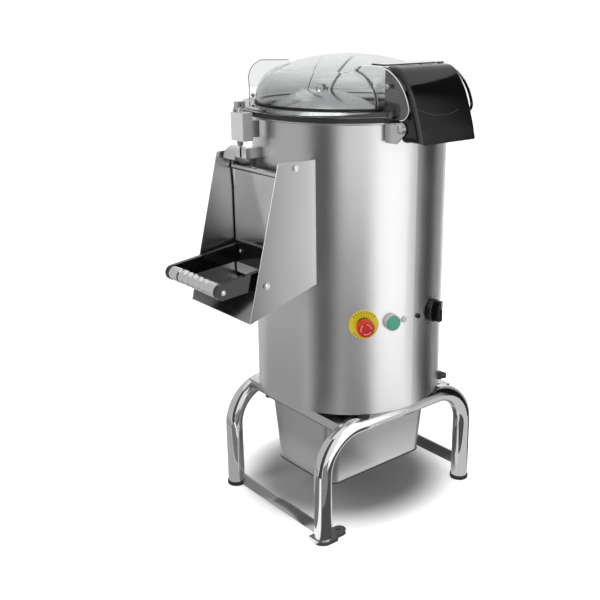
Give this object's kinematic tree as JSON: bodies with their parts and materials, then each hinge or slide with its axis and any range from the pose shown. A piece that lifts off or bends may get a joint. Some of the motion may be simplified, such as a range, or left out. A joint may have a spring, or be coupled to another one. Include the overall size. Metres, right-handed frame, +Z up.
{
  "type": "electric potato peeler",
  "caption": "Floor-standing drum peeler: a brushed steel drum with a clear domed lid and a chute door, on a tubular stand with a sliding peel tray",
  "frame": {"origin": "on the floor, under the axis of the drum, at the centre of the stand", "axes": "+Z up along the drum's axis, -Y towards the chute and the tray's pull, +X towards the lid's hinge and the controls"},
  "size_m": [0.5, 0.629, 0.9615],
  "materials": {
    "satin_steel": "brushed stainless sheet and tube",
    "polished_tube": "polished stainless tube",
    "polished_steel": "bright stainless sheet",
    "screw_steel": "bright turned steel",
    "black_rubber": "matt rubber",
    "abrasive": "bonded grit",
    "disc_grit": "bonded grit on cast metal",
    "cast_iron": "cast and turned",
    "motor_paint": "painted ribbed housing",
    "yellow_label": "plastic disc with plain tick marks",
    "red_plastic": "glossy",
    "green_plastic": "glossy",
    "black_plastic": "moulded, satin",
    "lamp_lens": "translucent lens",
    "clear_plastic": "clear moulded plastic",
    "grip_metal": "turned grip",
    "grey_plastic": "moulded",
    "light_grey_plastic": "moulded, satin"
  },
  "bodies": {
    "machine": {"frame_hoops": "polished_tube", "floor_bars": "satin_steel", "foot_caps": "black_rubber", "floor_fixing_plates": "polished_steel", "stand_rails": "satin_steel", "drum_pads": "black_rubber", "drum_front": "satin_steel", "drum_rear": "satin_steel", "base_plate": "satin_steel", "chamber_floor": "satin_steel", "abrasive_liner": "abrasive", "drain_spout": "satin_steel", "water_inlet": "screw_steel", "bearing_housing": "cast_iron", "shaft_bearings": "screw_steel", "drive_belt": "black_rubber", "motor_body": "motor_paint", "motor_plate": "cast_iron", "stop_label": "yellow_label", "stop_collar": "black_plastic", "start_bezel": "light_grey_plastic", "indicator_lamp": "lamp_lens", "fuse_holder": "black_plastic", "timer_body": "black_plastic", "cable_gland": "black_plastic", "chute_sides": "polished_steel", "chute_floor": "polished_steel", "chute_screws": "screw_steel", "door_frame": "polished_steel", "door_seal": "black_rubber", "interlock_box": "light_grey_plastic", "interlock_bracket": "polished_steel", "hinge_brackets": "polished_steel", "hinge_pin": "screw_steel"},
    "lid": {"lid_dome": "clear_plastic", "lid_seal": "black_rubber", "lid_cheeks": "clear_plastic", "lid_tab": "clear_plastic", "lid_screws": "screw_steel", "splash_dish": "polished_steel", "dish_straps": "black_plastic", "hinge_cover": "black_plastic"},
    "chute_door": {"door_panel": "polished_steel", "door_bar": "polished_steel", "door_cam": "screw_steel", "door_lever": "black_plastic", "grip_tube": "grip_metal", "door_screws": "screw_steel"},
    "interlock_plunger": {"door_plunger": "grey_plastic"},
    "lid_switch": {"lid_lever": "grey_plastic"},
    "turning_disc": {"peeling_disc": "disc_grit", "disc_nut": "screw_steel", "drive_shaft": "screw_steel", "driven_pulley": "cast_iron"},
    "motor_rotor": {"motor_pulley": "cast_iron", "motor_shaft": "screw_steel"},
    "tray": {"peel_tray": "satin_steel"},
    "stop": {"stop_button": "red_plastic"},
    "start": {"start_button": "green_plastic"},
    "timer": {"timer_knob": "black_plastic"}
  },
  "joints": [
    {"name": "lid_hinge", "type": "hinge", "parent": "machine", "child": "lid", "pos_m": [0.235, 0, 0.84], "axis": [0, 1, 0], "range_deg": [0, 95]},
    {"name": "door_hinge", "type": "hinge", "parent": "machine", "child": "chute_door", "pos_m": [0, -0.219, 0.768], "axis": [-1, 0, 0], "range_deg": [0, 60]},
    {"name": "interlock_slide", "type": "slide", "parent": "machine", "child": "interlock_plunger", "axis": [0, 0, 1], "range_m": [0, 0.0052]},
    {"name": "lid_switch_lever", "type": "hinge", "parent": "machine", "child": "lid_switch", "pos_m": [-0.051, -0.239, 0.864], "axis": [1, 0, 0], "range_deg": [0, 25], "stiffness_Nm_per_rad": 0.05, "springref_deg": -5.73},
    {"name": "disc_spin", "type": "hinge", "parent": "machine", "child": "turning_disc", "pos_m": [0, 0, 0.512], "axis": [0, 0, 1], "continuous": true},
    {"name": "motor_spin", "type": "hinge", "parent": "machine", "child": "motor_rotor", "pos_m": [-0.095, 0.06, 0.315], "axis": [0, 0, 1], "continuous": true},
    {"name": "tray_slide", "type": "slide", "parent": "machine", "child": "tray", "axis": [0, -1, 0], "range_m": [0, 0.22]},
    {"name": "stop_push", "type": "slide", "parent": "machine", "child": "stop", "axis": [-0.8434, 0.5373, 0], "range_m": [0, 0.004], "stiffness_N_per_m": 1500, "springref_m": -0.001},
    {"name": "start_push", "type": "slide", "parent": "machine", "child": "start", "axis": [-0.9613, 0.2756, 0], "range_m": [0, 0.003], "stiffness_N_per_m": 1000, "springref_m": -0.001},
    {"name": "timer_turn", "type": "hinge", "parent": "machine", "child": "timer", "pos_m": [0.19126, 0.05847, 0.455], "axis": [-0.9563, -0.2924, 0], "range_deg": [0, 300]}
  ],
  "couplings": [
    {"joint": "interlock_slide", "follows": "door_hinge", "m_per_rad": 0.0048},
    {"joint": "motor_spin", "follows": "disc_spin", "ratio": 4.8519}
  ]
}
